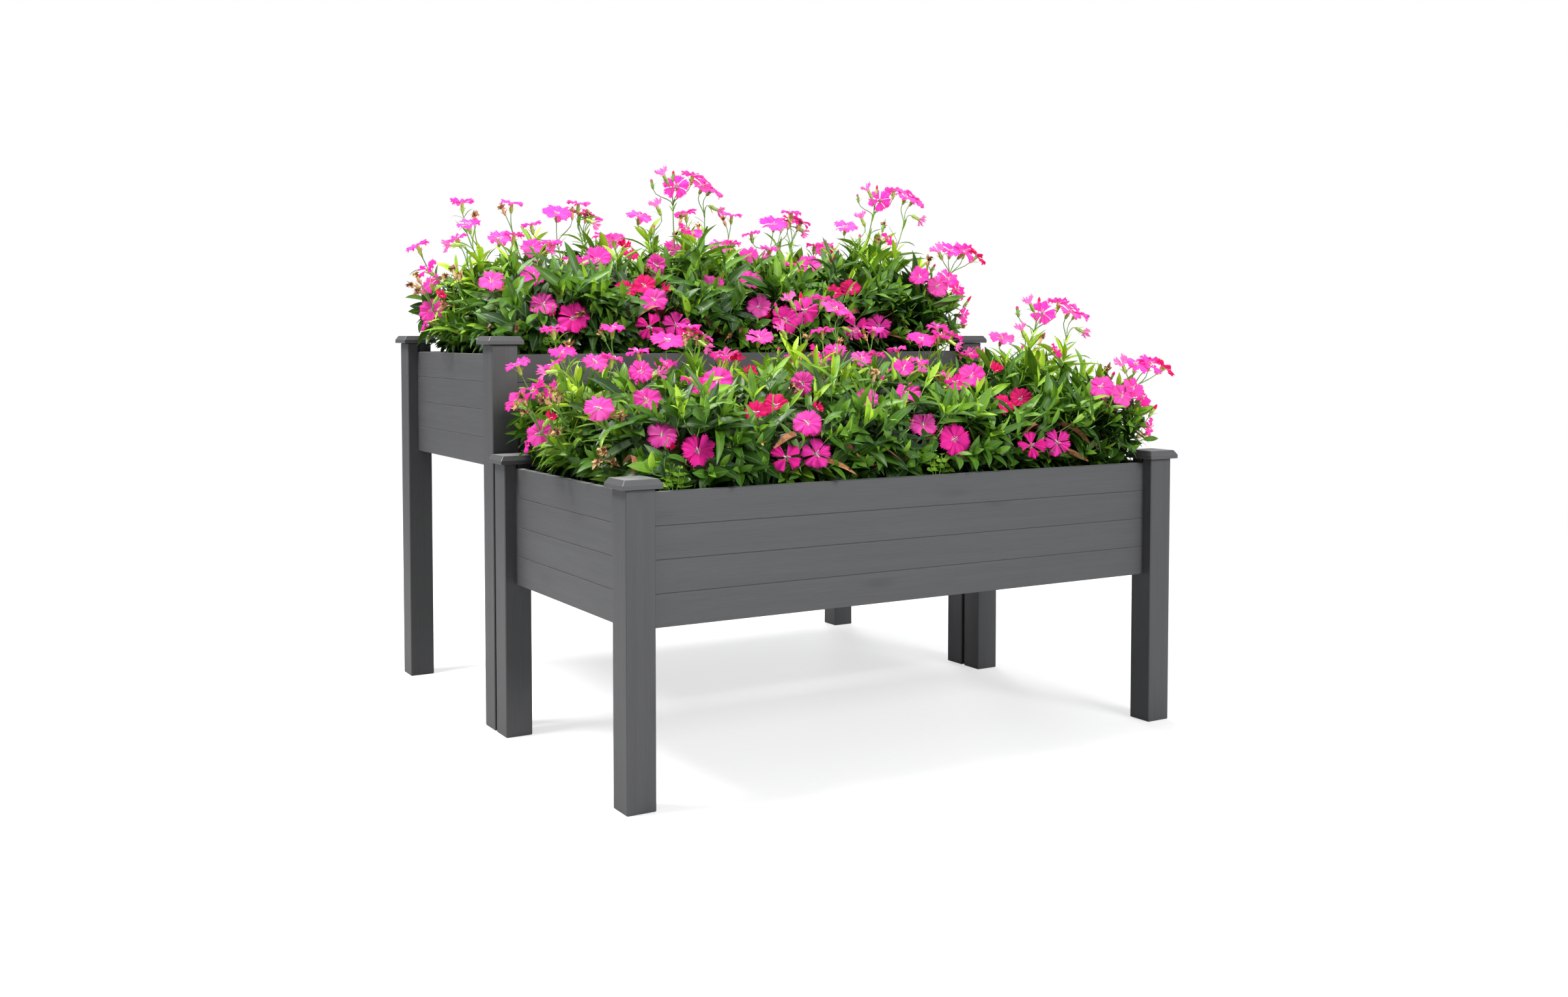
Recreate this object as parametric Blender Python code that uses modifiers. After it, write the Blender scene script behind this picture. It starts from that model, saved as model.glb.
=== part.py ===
"""Planted tiered raised bed: a low and a tall timber bed on legs, filled with soil and pinks (Dianthus).

Blender 4.5, metres, +Z up. The origin is on the ground under the middle of the pair. The low bed
stands in front (towards -Y), the tall bed stands right behind it, and their long sides run along X.
"""

import math
import random

import bmesh
import bpy
from mathutils import Matrix, Vector

# ---- Driving dimensions -------------------------------------------------------------------------
CLEARANCE = 0.0003  # left between pieces that touch
BED_LENGTH = 1.220  # along X, over the posts
BED_DEPTH = 0.610  # along Y, over the posts

POST_SIDE = 0.054
POST_EDGE = 0.0015  # softened edges of the timber
CAP_OVERHANG = 0.010
CAP_SLAB = 0.0075  # height of the cap's square edge
CAP_RISE = 0.009  # height of its bevelled top
CAP_SLOPE = 0.00825  # width of that bevel, seen from above
CAP_EDGE = 0.0008

BOARDS_PER_SIDE = 4
BOARD_PITCH = 0.057
BOARD_THICKNESS = 0.014
BOARD_SETBACK = 0.023  # from the posts' outer faces to the boards'
BOARD_EDGE = 0.0009
TONGUE_THICKNESS = 0.006
TONGUE_LENGTH = 0.0075
GROOVE_DEPTH = 0.008

CLEAT_SIDE = 0.020
FLOOR_THICKNESS = 0.009
DRAIN_RADIUS = 0.008
DRAINS_ALONG, DRAINS_ACROSS = 4, 2
SOIL_BELOW_RIM = 0.030

# Each bed: the height of its posts, the underside of its lowest board, and how far its pinks grow.
BEDS = {
    "low_bed": {"side": -1, "post_height": 0.537, "boards_from": 0.301, "growth": 1.00, "seed": 4},
    "tall_bed": {"side": 1, "post_height": 0.769, "boards_from": 0.522, "growth": 1.22, "seed": 9},
}

# ---- The pinks, each clump measured from its middle and from the top of the post caps -------------
CLUMP_OFFSET = 0.290  # from the bed's middle to the middle of each clump
MOUND_CROWN = 0.135  # how high the leafy cushion stands above the caps
MOUND_SWELL = 0.014  # how far it swells out over the rim
MOUND_CELLS = 6
MOUND_ROUNDING = 6  # exponent of the rounded plan
LEAF_LENGTH, LEAF_WIDTH, LEAF_THICKNESS = 0.105, 0.026, 0.005
STEM_RADIUS = 0.0022
CALYX_RADIUS, CALYX_LENGTH = 0.0042, 0.018
BLOOM_RADIUS, BLOOM_RISE, PETAL_THICKNESS = 0.025, 0.009, 0.003
PETALS = 5

# Where the flowering stems end: x and y from the clump's middle, height above the caps.
BLOOMS = (
    (-0.26, -0.16, 0.110),
    (-0.18, -0.13, 0.130),
    (-0.21, -0.26, 0.055),
    (-0.14, -0.27, 0.030),
    (-0.25, 0.21, 0.105),
    (0.03, -0.06, 0.155),
    (0.06, -0.20, 0.100),
    (0.13, -0.09, 0.160),
    (0.11, -0.27, 0.035),
    (0.24, -0.22, 0.125),
    (0.18, -0.01, 0.275),
    (0.24, 0.04, 0.295),
    (-0.01, 0.09, 0.220),
    (-0.19, 0.07, 0.185),
    (0.12, 0.10, 0.210),
    (-0.10, 0.22, 0.130),
    (0.08, 0.25, 0.090),
)
END_BLOOM = (0.345, -0.17, 0.170)  # leans out over the end of the bed
END_REACH = 0.055  # how far the outermost leaves pass the posts
END_LEAVES = ((-0.14, 0.085), (0.03, 0.115), (0.17, 0.070))  # y and height of their tips
LEAVES_PER_CLUMP = 15

COLOURS = {
    "paint": ((0.122, 0.124, 0.131), 0.55),
    "soil": ((0.045, 0.030, 0.020), 0.95),
    "pinks": ((0.070, 0.190, 0.030), 0.60),
}

# ---- Sizes that follow ----------------------------------------------------------------------------
HALF_LENGTH = BED_LENGTH / 2
HALF_DEPTH = BED_DEPTH / 2
BEDS_GAP = CAP_OVERHANG + CLEARANCE  # the low bed's rear caps reach the tall bed's front posts
BED_MIDDLE_Y = HALF_DEPTH + BEDS_GAP / 2
CAP_HEIGHT = CAP_SLAB + CAP_RISE
INNER_FACE = BOARD_SETBACK + BOARD_THICKNESS  # from the posts' outer faces to the soil
PANEL_HEIGHT = BOARDS_PER_SIDE * BOARD_PITCH
CORNERS = {"front_left": (-1, -1), "front_right": (1, -1), "rear_left": (-1, 1), "rear_right": (1, 1)}


def clear_scene():
    for obj in list(bpy.data.objects):
        bpy.data.objects.remove(obj, do_unlink=True)


def new_collection(name):
    collection = bpy.data.collections.new(name)
    bpy.context.scene.collection.children.link(collection)
    return collection


def new_material(name, colour, roughness):
    material = bpy.data.materials.new(name)
    material.use_nodes = True
    shader = material.node_tree.nodes["Principled BSDF"]
    shader.inputs["Base Color"].default_value = (*colour, 1.0)
    shader.inputs["Roughness"].default_value = roughness
    shader.inputs["Metallic"].default_value = 0.0
    return material


def add_object(name, bm, collection, material=None):
    """Turn a bmesh into an object of the given collection."""
    mesh = bpy.data.meshes.new(name)
    bm.to_mesh(mesh)
    bm.free()
    obj = bpy.data.objects.new(name, mesh)
    collection.objects.link(obj)
    if material:
        mesh.materials.append(material)
    else:
        obj.hide_render = True
        obj.display_type = "WIRE"
    return obj


def box_mesh(low, high):
    """A box between two corners."""
    low, high = Vector(low), Vector(high)
    bm = bmesh.new()
    bmesh.ops.create_cube(bm, size=1.0)
    bmesh.ops.scale(bm, vec=high - low, verts=bm.verts)
    bmesh.ops.translate(bm, vec=(low + high) / 2, verts=bm.verts)
    return bm


def merge_into(target, source):
    """Move all the geometry of one bmesh into another."""
    mesh = bpy.data.meshes.new("scratch")
    source.to_mesh(mesh)
    source.free()
    target.from_mesh(mesh)
    bpy.data.meshes.remove(mesh)


def boxes_mesh(corner_pairs):
    bm = bmesh.new()
    for low, high in corner_pairs:
        merge_into(bm, box_mesh(low, high))
    return bm


def soften(obj, width):
    bevel = obj.modifiers.new("Softened edges", "BEVEL")
    bevel.width = width
    bevel.segments = 1
    bevel.limit_method = "ANGLE"
    bevel.angle_limit = math.radians(40)


def add_boolean(obj, cutter, operation):
    boolean = obj.modifiers.new(operation.title(), "BOOLEAN")
    boolean.object = cutter
    boolean.operation = operation
    boolean.solver = "EXACT"
    boolean.use_self = operation == "UNION"


class Bed:
    """One bed's heights and place, and the collections and materials that its pieces go to."""

    def __init__(self, name, settings, collections, materials):
        self.name = name
        self.parts, self.cutters = collections
        self.materials = materials
        self.middle = Vector((0.0, settings["side"] * BED_MIDDLE_Y, 0.0))
        self.post_height = settings["post_height"]
        self.boards_from = settings["boards_from"]
        self.growth = settings["growth"]
        self.random = random.Random(settings["seed"])
        self.boards_to = self.boards_from + PANEL_HEIGHT
        self.floor_from = self.boards_from + CLEAT_SIDE + CLEARANCE
        self.soil_from = self.floor_from + FLOOR_THICKNESS + CLEARANCE
        self.soil_to = self.boards_to - SOIL_BELOW_RIM
        self.caps_top = self.post_height + CLEARANCE + CAP_HEIGHT

    def add(self, name, bm, material):
        """A piece made about the bed's own middle, placed with the bed."""
        obj = add_object(f"{self.name}_{name}", bm, self.parts, self.materials[material])
        obj.location = self.middle
        return obj

    def add_cutter(self, name, bm):
        obj = add_object(f"{self.name}_{name}", bm, self.cutters)
        obj.location = self.middle
        return obj


# ---- Timber --------------------------------------------------------------------------------------
def groove_boxes(bed, side_x, side_y):
    """The two grooves of a corner post: one for the long boards, one for the short ones."""
    near = BOARD_SETBACK - CLEARANCE
    far = BOARD_SETBACK + TONGUE_THICKNESS + CLEARANCE
    shallow = POST_SIDE + POST_EDGE
    deep = POST_SIDE - GROOVE_DEPTH
    low_z = bed.boards_from - CLEARANCE
    high_z = bed.post_height + POST_EDGE
    pairs = []
    for across in ((deep, near, shallow, far), (near, deep, far, shallow)):
        xs = sorted((side_x * (HALF_LENGTH - across[0]), side_x * (HALF_LENGTH - across[2])))
        ys = sorted((side_y * (HALF_DEPTH - across[1]), side_y * (HALF_DEPTH - across[3])))
        pairs.append(((xs[0], ys[0], low_z), (xs[1], ys[1], high_z)))
    return pairs


def add_post(bed, corner, side_x, side_y):
    xs = sorted((side_x * HALF_LENGTH, side_x * (HALF_LENGTH - POST_SIDE)))
    ys = sorted((side_y * HALF_DEPTH, side_y * (HALF_DEPTH - POST_SIDE)))
    post = bed.add(f"post_{corner}", box_mesh((xs[0], ys[0], 0.0), (xs[1], ys[1], bed.post_height)), "paint")
    soften(post, POST_EDGE)
    grooves = boxes_mesh(groove_boxes(bed, side_x, side_y))
    add_boolean(post, bed.add_cutter(f"grooves_{corner}", grooves), "DIFFERENCE")


def add_cap(bed, corner, side_x, side_y):
    """A square slab whose top rises to a smaller square."""
    middle_x = side_x * (HALF_LENGTH - POST_SIDE / 2)
    middle_y = side_y * (HALF_DEPTH - POST_SIDE / 2)
    half = POST_SIDE / 2 + CAP_OVERHANG
    foot = bed.post_height + CLEARANCE
    bm = box_mesh(
        (middle_x - half, middle_y - half, foot), (middle_x + half, middle_y + half, foot + CAP_SLAB)
    )
    top = max(bm.faces, key=lambda face: face.calc_center_median().z)
    bmesh.ops.inset_region(bm, faces=[top], thickness=CAP_SLOPE)
    bmesh.ops.translate(bm, vec=(0, 0, CAP_RISE), verts=top.verts)
    soften(bed.add(f"cap_{corner}", bm, "paint"), CAP_EDGE)


def board_blank(along_x, side, low_z, high_z):
    """A board's outer size, tongues included, and the two boxes that leave the tongues at its ends."""
    half_run = (HALF_LENGTH if along_x else HALF_DEPTH) - POST_SIDE
    half_across = (HALF_DEPTH if along_x else HALF_LENGTH) - BOARD_SETBACK
    tip = half_run + TONGUE_LENGTH
    shoulder = half_run - CLEARANCE
    margin = BOARD_THICKNESS
    inner = half_across - BOARD_THICKNESS
    tongue = half_across - TONGUE_THICKNESS

    def placed(run_low, run_high, across_low, across_high, grow):
        runs = (run_low, run_high)
        across = sorted((side * across_low, side * across_high))
        low = (runs[0], across[0], low_z - grow) if along_x else (across[0], runs[0], low_z - grow)
        high = (runs[1], across[1], high_z + grow) if along_x else (across[1], runs[1], high_z + grow)
        return low, high

    blank = placed(-tip, tip, inner, half_across, 0.0)
    rebates = [
        placed(-tip - margin, -shoulder, inner - margin, tongue, margin),
        placed(shoulder, tip + margin, inner - margin, tongue, margin),
    ]
    return blank, rebates


def add_boards(bed):
    """Four boards stacked on each side, their tongues standing in the posts' grooves."""
    walls = {"front": (True, -1), "rear": (True, 1), "left": (False, -1), "right": (False, 1)}
    for wall, (along_x, side) in walls.items():
        for number in range(BOARDS_PER_SIDE):
            low_z = bed.boards_from + number * BOARD_PITCH
            high_z = low_z + BOARD_PITCH - CLEARANCE
            blank, rebates = board_blank(along_x, side, low_z, high_z)
            board = bed.add(f"board_{wall}_{number + 1}", box_mesh(*blank), "paint")
            soften(board, BOARD_EDGE)
            cutter = bed.add_cutter(f"rebates_{wall}_{number + 1}", boxes_mesh(rebates))
            add_boolean(board, cutter, "DIFFERENCE")


def add_cleats(bed):
    """Two battens inside the long walls, level with the lowest board's foot, that carry the floor."""
    half_run = HALF_LENGTH - POST_SIDE - CLEARANCE
    outer = HALF_DEPTH - INNER_FACE - CLEARANCE
    for wall, side in (("front", -1), ("rear", 1)):
        ys = sorted((side * outer, side * (outer - CLEAT_SIDE)))
        low = (-half_run, ys[0], bed.boards_from)
        high = (half_run, ys[1], bed.boards_from + CLEAT_SIDE)
        soften(bed.add(f"cleat_{wall}", box_mesh(low, high), "paint"), POST_EDGE)


def corner_notches(bed, low_z, high_z):
    """Boxes that clear the four posts out of a slab that fills the bed."""
    reach = POST_SIDE + CLEARANCE
    pairs = []
    for side_x, side_y in CORNERS.values():
        xs = sorted((side_x * (HALF_LENGTH + CLEARANCE), side_x * (HALF_LENGTH - reach)))
        ys = sorted((side_y * (HALF_DEPTH + CLEARANCE), side_y * (HALF_DEPTH - reach)))
        pairs.append(((xs[0], ys[0], low_z), (xs[1], ys[1], high_z)))
    return pairs


def bed_slab(bed, name, low_z, high_z, material):
    """A slab that fits inside the boards, notched round the posts."""
    half_x = HALF_LENGTH - INNER_FACE - CLEARANCE
    half_y = HALF_DEPTH - INNER_FACE - CLEARANCE
    slab = bed.add(name, box_mesh((-half_x, -half_y, low_z), (half_x, half_y, high_z)), material)
    notches = boxes_mesh(corner_notches(bed, low_z - POST_SIDE, high_z + POST_SIDE))
    add_boolean(slab, bed.add_cutter(f"{name}_notches", notches), "DIFFERENCE")
    return slab


def drain_mesh(low_z, high_z):
    """A grid of round holes along the floor."""
    bm = bmesh.new()
    step_x = BED_LENGTH / (DRAINS_ALONG + 1)
    step_y = BED_DEPTH / (DRAINS_ACROSS + 1)
    for column in range(DRAINS_ALONG):
        for row in range(DRAINS_ACROSS):
            x = (column + 1) * step_x - HALF_LENGTH
            y = (row + 1) * step_y - HALF_DEPTH
            bmesh.ops.create_cone(
                bm, cap_ends=True, segments=8, radius1=DRAIN_RADIUS, radius2=DRAIN_RADIUS,
                depth=high_z - low_z, matrix=Matrix.Translation((x, y, (low_z + high_z) / 2)),
            )
    return bm


def add_floor_and_soil(bed):
    floor_to = bed.floor_from + FLOOR_THICKNESS
    floor = bed_slab(bed, "floor", bed.floor_from, floor_to, "paint")
    drains = drain_mesh(bed.floor_from - FLOOR_THICKNESS, floor_to + FLOOR_THICKNESS)
    add_boolean(floor, bed.add_cutter("drains", drains), "DIFFERENCE")
    bed_slab(bed, "soil", bed.soil_from, bed.soil_to, "soil")


# ---- Pinks ---------------------------------------------------------------------------------------
def smooth(low, high, value):
    t = min(max((value - low) / (high - low), 0.0), 1.0)
    return t * t * (3 - 2 * t)


def mound_mesh(bed, side):
    """The leafy cushion over one half of the bed: flat on the soil, domed and swollen over the rim."""
    base = bed.soil_to + CLEARANCE
    crown = bed.caps_top + MOUND_CROWN * bed.growth
    half_x = HALF_LENGTH - INNER_FACE - 2 * BOARD_EDGE
    half_y = HALF_DEPTH - INNER_FACE - 2 * BOARD_EDGE
    phase = bed.random.uniform(0.0, math.tau)
    bm = bmesh.new()
    bmesh.ops.create_cube(bm, size=1.0)
    bmesh.ops.subdivide_edges(bm, edges=bm.edges, cuts=MOUND_CELLS - 1, use_grid_fill=True)
    for vert in bm.verts:
        run = 0.985 * (vert.co.x + 0.5)
        across, up = 2 * vert.co.y, vert.co.z + 0.5
        width = (1 - run**MOUND_ROUNDING) ** (1 / MOUND_ROUNDING)
        lumps = math.sin(5.1 * run + phase) * math.sin(3.4 * across + 2.0 * phase)
        dome = 1 - 0.45 * abs(across) ** 3 - 0.35 * smooth(0.65, 1.0, run) + 0.10 * lumps
        z = base + up * (crown - base) * dome
        swell = MOUND_SWELL * smooth(bed.caps_top + 0.004, bed.caps_top + 0.040, z)
        x = side * (BOARD_EDGE + run * (half_x + swell))
        vert.co = (x, across * width * (half_y + swell), z)
    if side < 0:
        bmesh.ops.reverse_faces(bm, faces=bm.faces)
    return bm


def stalk_profile(length):
    """Radius and height up a flowering stem: stem, calyx, then the flat-topped bloom."""
    calyx_top = length - BLOOM_RISE
    return (
        (0.0, 0.0),
        (STEM_RADIUS, 0.0),
        (STEM_RADIUS, calyx_top - CALYX_LENGTH),
        (CALYX_RADIUS, calyx_top),
        (BLOOM_RADIUS, length - PETAL_THICKNESS),
        (BLOOM_RADIUS, length),
        (0.0, length - PETAL_THICKNESS),
    )


def stalk_mesh(root, tip):
    """A stem from its root to its bloom, turned about its axis, with the rim drawn in between the petals."""
    axis = Vector(tip) - Vector(root)
    bm = bmesh.new()
    verts = [bm.verts.new((radius, 0.0, height)) for radius, height in stalk_profile(axis.length)]
    edges = [bm.edges.new(pair) for pair in zip(verts, verts[1:])]
    bmesh.ops.spin(
        bm, geom=verts + edges, cent=(0, 0, 0), axis=(0, 0, 1), angle=math.tau,
        steps=2 * PETALS, use_merge=True,
    )
    bmesh.ops.remove_doubles(bm, verts=bm.verts, dist=0.00005)
    for vert in bm.verts:
        petal_angle = math.atan2(vert.co.y, vert.co.x) * PETALS
        if vert.co.xy.length > 2 * CALYX_RADIUS and math.cos(petal_angle) < 0:
            vert.co.xy = vert.co.xy * 0.78
    bmesh.ops.recalc_face_normals(bm, faces=bm.faces)
    turn = Vector((0, 0, 1)).rotation_difference(axis).to_matrix().to_4x4()
    bmesh.ops.transform(bm, matrix=Matrix.Translation(root) @ turn, verts=bm.verts)
    return bm


def leaf_mesh(root, tip):
    """A lance-shaped blade between two points, broad in the middle and arched."""
    axis = Vector(tip) - Vector(root)
    bm = bmesh.new()
    bmesh.ops.create_uvsphere(bm, u_segments=4, v_segments=4, radius=0.5)
    for vert in bm.verts:
        along = vert.co.z
        arch = 0.12 * LEAF_LENGTH * (1 - 4 * along * along)
        vert.co = (vert.co.x * LEAF_WIDTH, vert.co.y * LEAF_THICKNESS + arch, (along + 0.5) * axis.length)
    turn = axis.to_track_quat("Z", "Y").to_matrix().to_4x4()
    bmesh.ops.transform(bm, matrix=Matrix.Translation(root) @ turn, verts=bm.verts)
    return bm


def clump_stalks(bed, side):
    """The stems of one clump, spreading from its heart."""
    rise = bed.growth
    root_z = bed.caps_top - SOIL_BELOW_RIM
    middle = side * CLUMP_OFFSET
    blooms = list(BLOOMS) + ([END_BLOOM] if side > 0 else [])
    bm = bmesh.new()
    for x, y, height in blooms:
        tip = Vector((middle + x, y, bed.caps_top + height * rise))
        root = Vector((middle + 0.75 * x, 0.7 * y, root_z))
        merge_into(bm, stalk_mesh(root, tip))
    return bm


def clump_leaves(bed, side):
    """Blades that stand out of the cushion all round, the outermost leaning over the end of the bed."""
    bm = bmesh.new()
    end = HALF_LENGTH + END_REACH
    for y, height in END_LEAVES:
        root = (side * (end - 1.4 * LEAF_LENGTH), 0.9 * y, bed.caps_top + 0.3 * height)
        merge_into(bm, leaf_mesh(root, (side * end, y, bed.caps_top + height)))
    for number in range(LEAVES_PER_CLUMP):
        run = (number + 0.5) / LEAVES_PER_CLUMP
        across = (-0.95, 0.25, -0.35, 0.95, -0.65)[number % 5]
        height = MOUND_CROWN * (0.95 - 0.50 * abs(across) ** 3 - 0.20 * run * run)
        root = Vector((side * (0.07 + 0.43 * run), 0.20 * across, bed.caps_top + height * bed.growth - 0.045))
        lean = Vector((side * bed.random.uniform(-0.2, 0.5), 0.9 * across, 1.0)).normalized()
        merge_into(bm, leaf_mesh(root, root + lean * LEAF_LENGTH * bed.random.uniform(1.0, 1.3)))
    return bm


def add_pinks(bed):
    for name, side in (("left", -1), ("right", 1)):
        pinks = bed.add(f"pinks_{name}", mound_mesh(bed, side), "pinks")
        growth = clump_stalks(bed, side)
        merge_into(growth, clump_leaves(bed, side))
        add_boolean(pinks, bed.add_cutter(f"growth_{name}", growth), "UNION")


def main():
    clear_scene()
    collections = (new_collection("planted_tiered_raised_bed"), new_collection("cutters"))
    materials = {name: new_material(name, *values) for name, values in COLOURS.items()}
    for name, settings in BEDS.items():
        bed = Bed(name, settings, collections, materials)
        for corner, (side_x, side_y) in CORNERS.items():
            add_post(bed, corner, side_x, side_y)
            add_cap(bed, corner, side_x, side_y)
        add_boards(bed)
        add_cleats(bed)
        add_floor_and_soil(bed)
        add_pinks(bed)


main()
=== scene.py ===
import math

import bpy
import numpy as np
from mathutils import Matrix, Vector


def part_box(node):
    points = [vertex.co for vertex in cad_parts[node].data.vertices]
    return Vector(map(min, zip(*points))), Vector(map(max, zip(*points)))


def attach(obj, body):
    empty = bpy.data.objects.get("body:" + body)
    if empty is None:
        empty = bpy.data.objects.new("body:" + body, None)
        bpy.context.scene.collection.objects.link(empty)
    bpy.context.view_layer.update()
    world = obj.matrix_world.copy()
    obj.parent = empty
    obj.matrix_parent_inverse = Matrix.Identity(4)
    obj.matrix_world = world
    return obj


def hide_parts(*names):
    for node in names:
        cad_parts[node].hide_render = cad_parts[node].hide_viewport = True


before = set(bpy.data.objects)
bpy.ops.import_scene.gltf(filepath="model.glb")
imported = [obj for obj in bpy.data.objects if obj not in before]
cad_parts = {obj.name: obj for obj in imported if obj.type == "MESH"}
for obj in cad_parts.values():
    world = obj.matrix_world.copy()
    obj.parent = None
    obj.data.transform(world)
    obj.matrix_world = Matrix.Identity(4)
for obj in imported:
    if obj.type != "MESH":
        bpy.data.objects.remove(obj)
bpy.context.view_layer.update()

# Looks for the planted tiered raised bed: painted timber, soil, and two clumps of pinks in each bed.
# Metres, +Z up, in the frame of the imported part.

# ---- Camera, light and floor ----------------------------------------------------------------------
CAMERA_PLACE = (-1.6308, -2.8188, 0.7913)
CAMERA_YAW = math.radians(30.93)
CAMERA_PITCH = math.radians(2.5)
LENS_MM, SENSOR_MM = 34.31, 36.0
SHIFT_Y = -0.0636
CLIP_END = 100.0
WHITE = (1.0, 1.0, 1.0)
# Round lights: place, the point they face, diameter, watts and colour.
LIGHTS = {
    "key": ((-2.75, 0.5, 4.5), (0, 0, 0.6), 1.8, 425, (1.0, 0.99, 0.975)),
    "top": ((0.8, 0.6, 5.2), (0, 0, 0.7), 2.6, 78, WHITE),
    "front": ((1.1, -4.7, 2.6), (0, 0, 0.6), 2.2, 250, WHITE),
    "back": ((2.3, 4.4, 1.1), (0, 0, 0.7), 2.0, 210, WHITE),
}
SKY = (0.93, 0.96, 1.0)
SKY_STRENGTH = 0.58
FLOOR_RADIUS = 30.0
FLOOR_FADE = (1.6, 5.0)  # the floor turns to plain white between these distances
FLOOR_WHITE = 0.55  # share of that white close to the beds
FLOOR_BOUNCE = 0.50  # how light the floor is for the light that it throws back

# ---- Plants ---------------------------------------------------------------------------------------
GROWTH = {"low_bed": 1.00, "tall_bed": 1.22}  # how much taller than in the low bed
STOUTNESS = {"low_bed": 1.00, "tall_bed": 1.10}  # how much bigger each leaf and bloom
MIDDLES = {"low_bed": (-0.265, 0.285), "tall_bed": (-0.230, 0.285)}  # of the left and right clumps
PLANTS, PLANT_RADIUS = (-0.19, 0.0, 0.18), 0.145  # the plants of a clump, along the bed
CANOPY_CROWN = 0.138  # height of the leafy mass above the post caps, before its outermost blades
SHOOT_SPACING = 0.051
# Rows of low shoots all round, from the lowest up: height above the caps, then how far from the bed's
# middle they stand along the long sides and at the ends.
SKIRT_TIERS = ((-0.012, 0.235, 0.548), (0.012, 0.278, 0.566), (0.050, 0.276, 0.540), (0.085, 0.260, 0.522))
CORNERS_ROUNDED = 0.045  # how much less they reach at the corners
SHOOT_ROWS_REACH = 0.285  # how far to the front and the back the shoots of the crown stand
SKIRT_SPACING = 0.036
TUFT_X, TUFT_HEIGHT = 0.23, 0.075  # the tall light green tuft of a clump, from its middle
LEAF_LENGTH, LEAF_WIDTH = 0.099, 0.0236
LEAF_ROWS = 7
SHOOT_RADIUS, STEM_RADIUS, BRANCH_RADIUS, SPRIG_RADIUS = 0.0019, 0.0016, 0.0012, 0.0008
REACH_X, REACH_Y = 0.665, 0.308  # how far blades may spread from a bed's middle
CLEARANCE = 0.002  # how far they keep off the timber
STEM_FOOT = 0.004  # how deep stems stand in the soil
SIGHT_LINE = (0.51, 0.86)  # the way the photograph looks, from above
HEADS_DRIFT = 0.055  # how far heads inside a clump may stand off their place along that line
# Leaves keep out of a window in front of each head, which looks this way and is this long.
LOOKED_AT_FROM, WINDOW_LENGTH = (-0.50, -0.85, 0.15), 0.110
MOST_HIDDEN = 0.06  # share of a leaf's points that may stand in a window

ROUND = math.tau
UP = np.array([0.0, 0.0, 1.0])

PETAL_RINGS, PETAL_STEPS = 6, 20
PETAL_SHARE = 0.555  # length of a petal, as a share of the bloom's width
CALYX_LENGTH = 0.0165
# The outline of a calyx from its foot up: radius, and height as a share of its length.
CALYX = ((0.0007, -1.04), (0.0024, -0.98), (0.0034, -0.72), (0.0033, -0.30), (0.0030, -0.06), (0.0035, 0.03))
BRACTS = 6
SHREDS = 18  # crumpled bits of a spent head

# The pieces of a clump: material, slot, and what its mesh calls the three numbers at each point.
PIECES = {
    "leaves": ("leaf", "leaf", "blade"),
    "stems": ("stem", "stem", "blade"),
    "petals_pink": ("petal_pink", "petal_pink", "petal"),
    "petals_rose": ("petal_rose", "petal_rose", "petal"),
    "styles": ("styles", "stamen", "petal"),
    "withered": ("withered", "withered", "blade"),
}

# What the head of a flowering stem may hold: the piece its petals go to, how many petals, half the
# angle that each one fills, how far it has opened, and its tint from deep to pale.
BLOOM_KINDS = {
    "pink": ("petals_pink", 5, 43, 0.93, 0.60),
    "light": ("petals_pink", 5, 42, 0.95, 0.68),
    "deep": ("petals_pink", 5, 38, 0.95, 0.10),
    "gappy": ("petals_pink", 5, 31, 0.95, 0.45),
    "cross": ("petals_pink", 4, 30, 0.95, 0.05),
    "half": ("petals_pink", 5, 40, 0.40, 0.50),
    "pale": ("petals_pink", 5, 33, 0.30, 1.00),
    "rose": ("petals_rose", 5, 42, 0.85, 0.60),
    "rose_half": ("petals_rose", 5, 40, 0.40, 0.40),
}

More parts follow.
